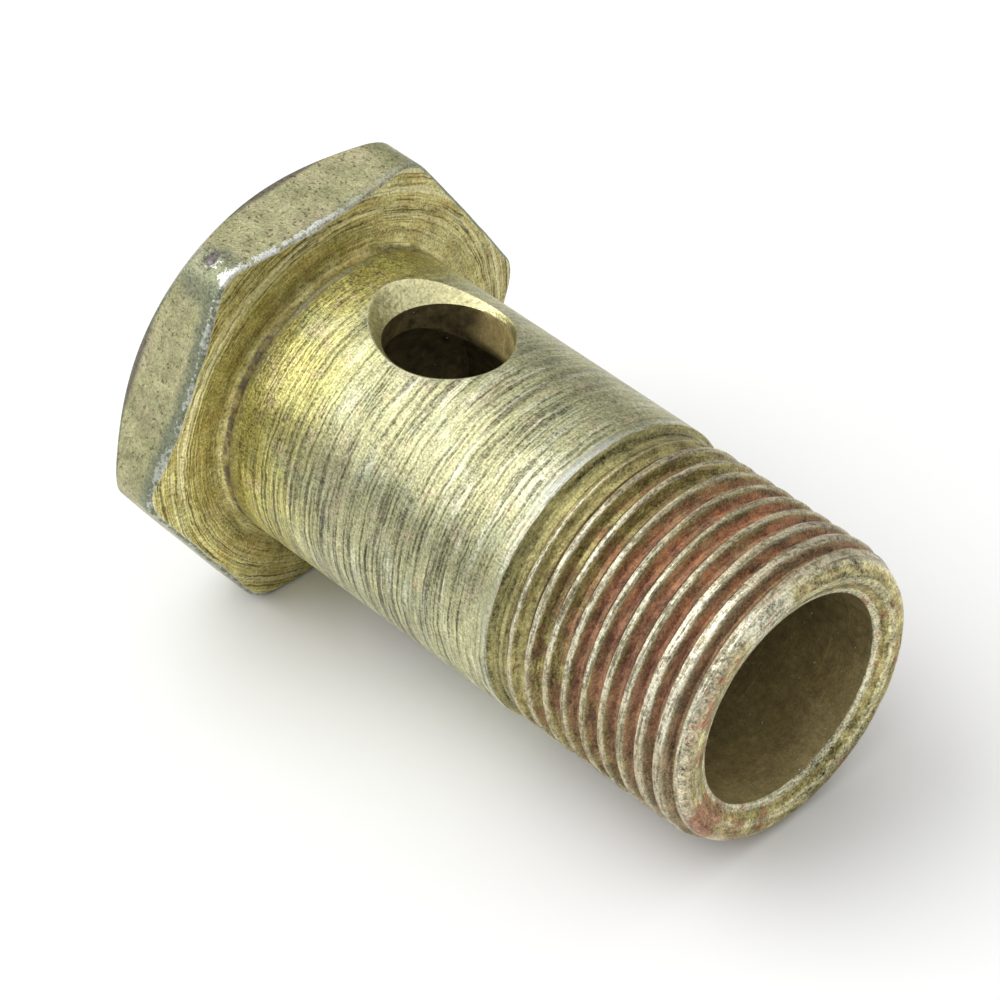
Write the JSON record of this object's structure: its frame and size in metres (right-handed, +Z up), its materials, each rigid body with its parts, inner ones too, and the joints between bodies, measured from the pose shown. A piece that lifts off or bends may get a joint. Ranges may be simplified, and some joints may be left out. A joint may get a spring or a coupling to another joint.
{
  "type": "banjo bolt",
  "caption": "Hollow hexagon-head bolt, cross-drilled, with a plain shank and a fine-threaded open end, for clamping a ring-shaped pipe fitting.",
  "frame": {"origin": "middle of the bounding box in plan, on the surface that the bolt lies on", "axes": "+Z up; +X from the head towards the threaded end, which dips 5.6 degrees, so the axis of the bolt lies in the XZ plane; one flat of the head faces straight down"},
  "size_m": [0.0462, 0.0304, 0.0274],
  "materials": {
    "zinc_plated_steel": "worn yellow zinc plating over turned steel, with rust in the thread"
  },
  "bodies": {
    "root": {"banjo_bolt": "zinc_plated_steel"}
  },
  "joints": []
}
